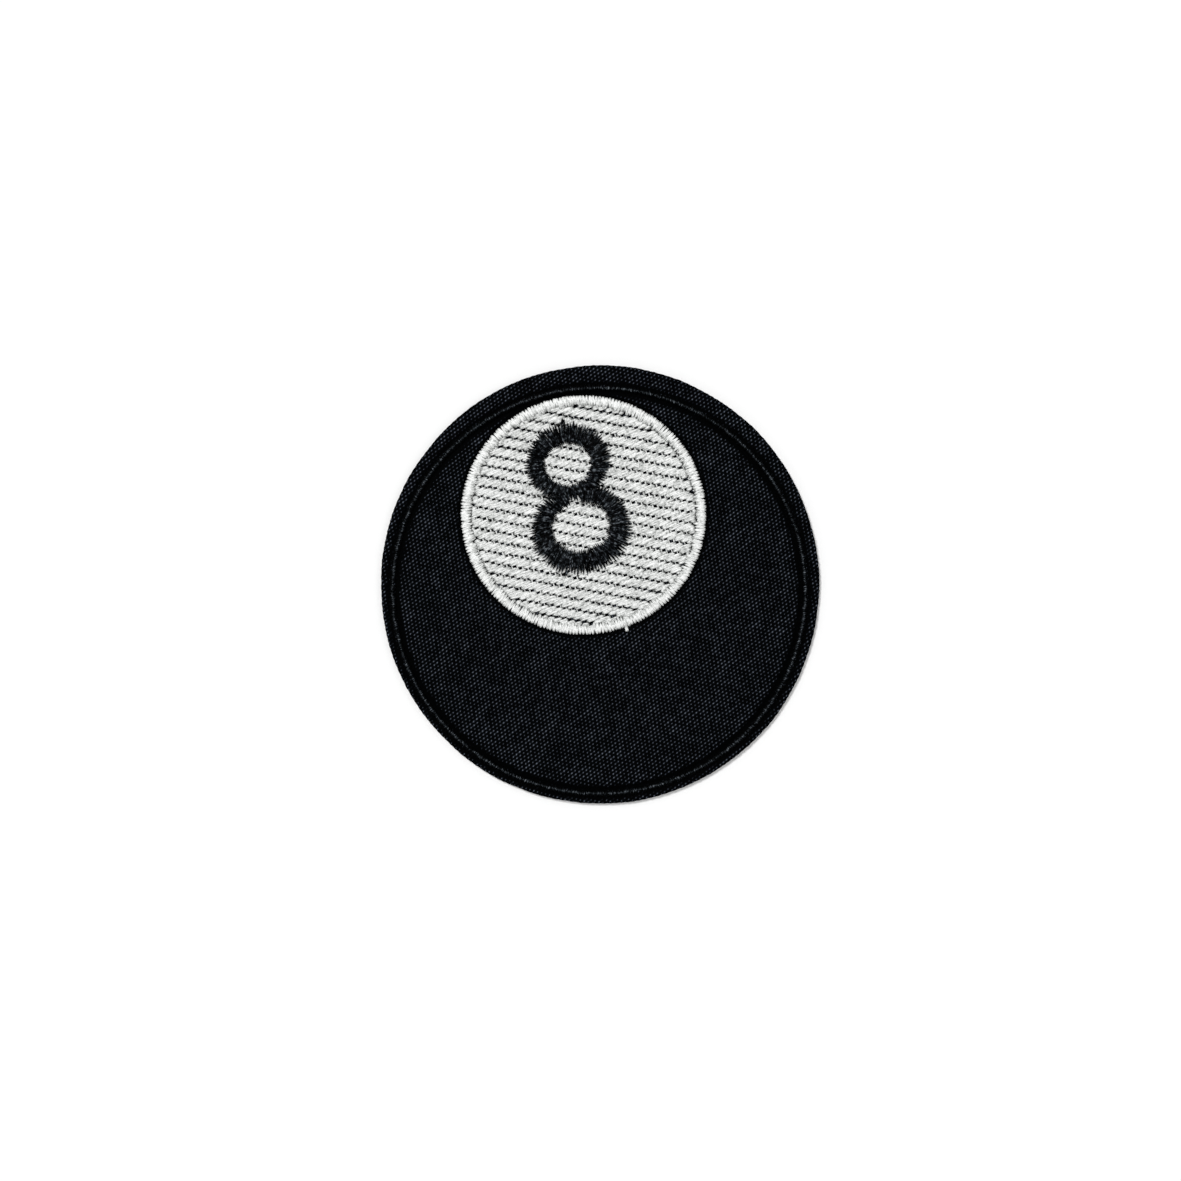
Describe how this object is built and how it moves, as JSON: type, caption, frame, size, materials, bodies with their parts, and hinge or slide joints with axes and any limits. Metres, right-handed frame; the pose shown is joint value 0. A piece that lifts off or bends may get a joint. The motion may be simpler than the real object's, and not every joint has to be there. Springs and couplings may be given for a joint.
{
  "type": "embroidered patch",
  "caption": "Round black twill iron-on patch embroidered with an eight ball: white stitched spot with a satin border, black numeral 8 and a thin satin outline ring.",
  "frame": {"origin": "centre of the flat back of the cut disc", "axes": "+Z out of the stitched face, +Y towards the top of the picture, +X to its right"},
  "size_m": [0.0762, 0.0762, 0.0019],
  "materials": {
    "twill": "matt polyester twill",
    "stabiliser": "matt black non-woven",
    "film": "satin milky hot-melt film",
    "black_thread": "satin embroidery thread",
    "white_thread": "satin embroidery thread",
    "bobbin_thread": "matt fine thread"
  },
  "bodies": {
    "root": {"hot_melt_film": "film", "numeral_bobbin": "bobbin_thread", "outline_bobbin": "bobbin_thread", "border_bobbin": "bobbin_thread", "fill_bobbin": "bobbin_thread", "stabiliser": "stabiliser", "twill_face": "twill", "outline_underlay": "black_thread", "border_underlay": "white_thread", "fill_underlay": "white_thread", "numeral_underlay": "black_thread", "fill_stitches": "white_thread", "outline_satin": "black_thread", "border_satin": "white_thread", "numeral_upper_loop": "black_thread", "numeral_lower_loop": "black_thread", "border_tie_off": "white_thread", "numeral_tie_offs": "black_thread"}
  },
  "joints": []
}
